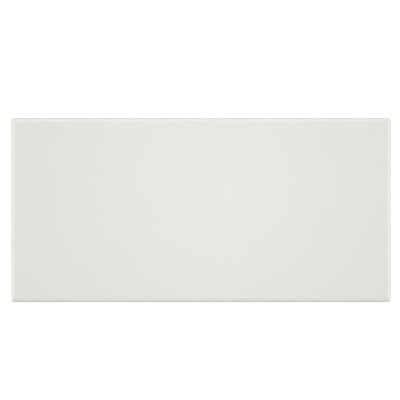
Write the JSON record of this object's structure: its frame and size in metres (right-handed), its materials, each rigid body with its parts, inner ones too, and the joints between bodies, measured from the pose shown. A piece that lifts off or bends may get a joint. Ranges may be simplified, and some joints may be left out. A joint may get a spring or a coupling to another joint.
{
  "type": "porcelain tile",
  "caption": "Flat rectangular porcelain tile with a pale satin glazed face, a shallow mitred bevel around it, slightly tapered sides and a keyed back of shallow pockets between ribs.",
  "frame": {"origin": "middle of the back, on the plane of its ribs and rim", "axes": "+X along the tile's length, +Y across its width, +Z out of the glazed face"},
  "size_m": [0.1476, 0.0714, 0.008],
  "materials": {
    "porcelain": "pale grey-white satin glaze on the face, bevel and upper side, bare fired body on the foot and back"
  },
  "bodies": {
    "root": {"tile": "porcelain"}
  },
  "joints": []
}
